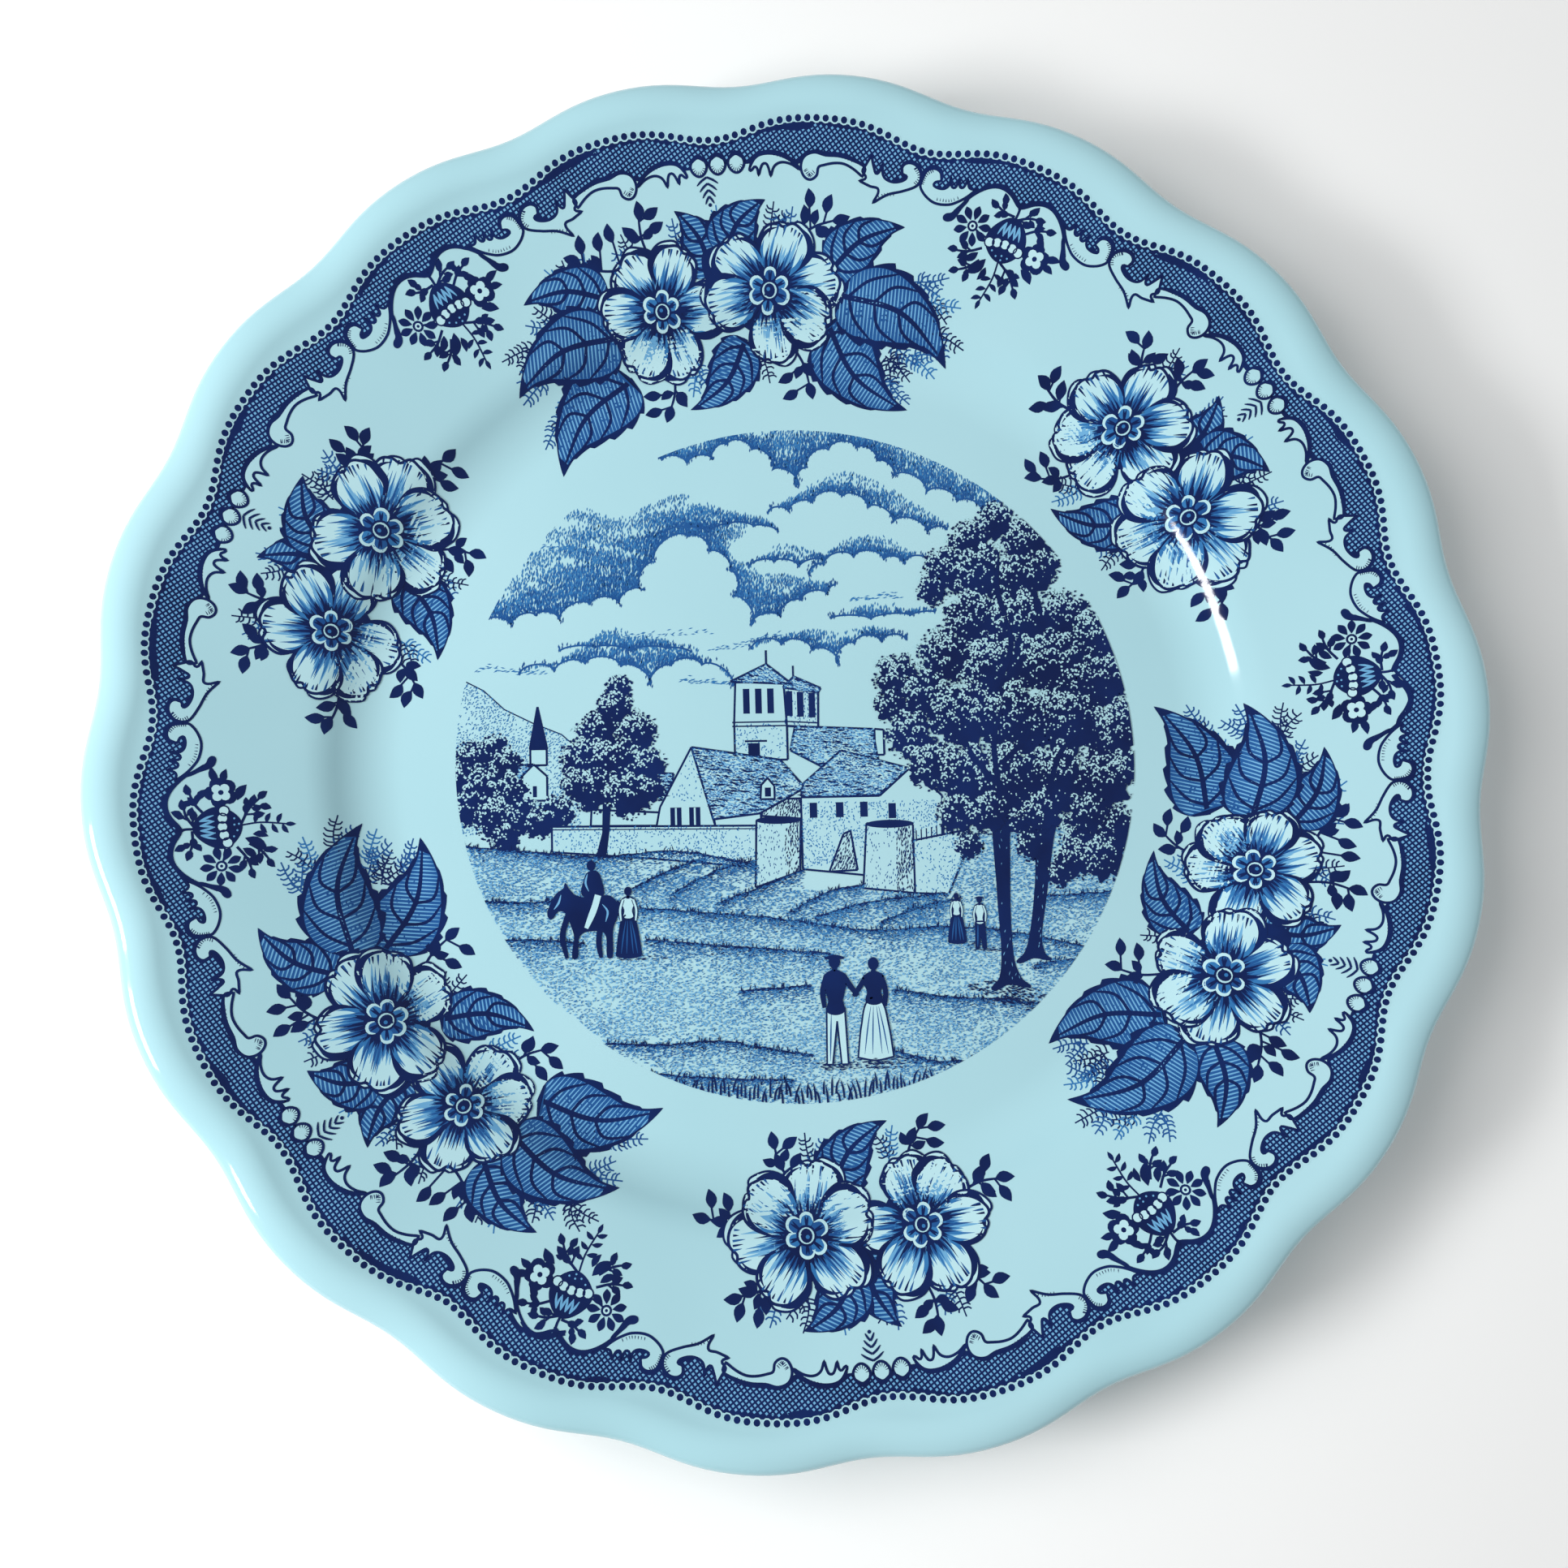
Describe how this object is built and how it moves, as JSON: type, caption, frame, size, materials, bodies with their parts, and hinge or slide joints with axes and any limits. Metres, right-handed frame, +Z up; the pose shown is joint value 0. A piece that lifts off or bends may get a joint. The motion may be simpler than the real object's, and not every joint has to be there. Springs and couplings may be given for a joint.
{
  "type": "dinner plate",
  "caption": "Round china dinner plate with a flat well, a sloping flange and a scalloped rolled lip, on a foot ring, printed in blue with flower sprays, scrollwork and a landscape.",
  "frame": {"origin": "middle of the foot ring's standing face", "axes": "+Z up out of the well; +Y towards the top of the picture printed in the well; +X to its right"},
  "size_m": [0.2678, 0.2674, 0.0263],
  "materials": {
    "clay_body": "matte",
    "tinted_glaze": "gloss",
    "cobalt_transfer": "gloss"
  },
  "bodies": {
    "root": {"body": "clay_body", "glaze_coat": "tinted_glaze", "base_glaze": "tinted_glaze", "centre_transfer": "cobalt_transfer", "border_transfer_1": "cobalt_transfer", "border_transfer_2": "cobalt_transfer", "border_transfer_3": "cobalt_transfer"}
  },
  "joints": []
}
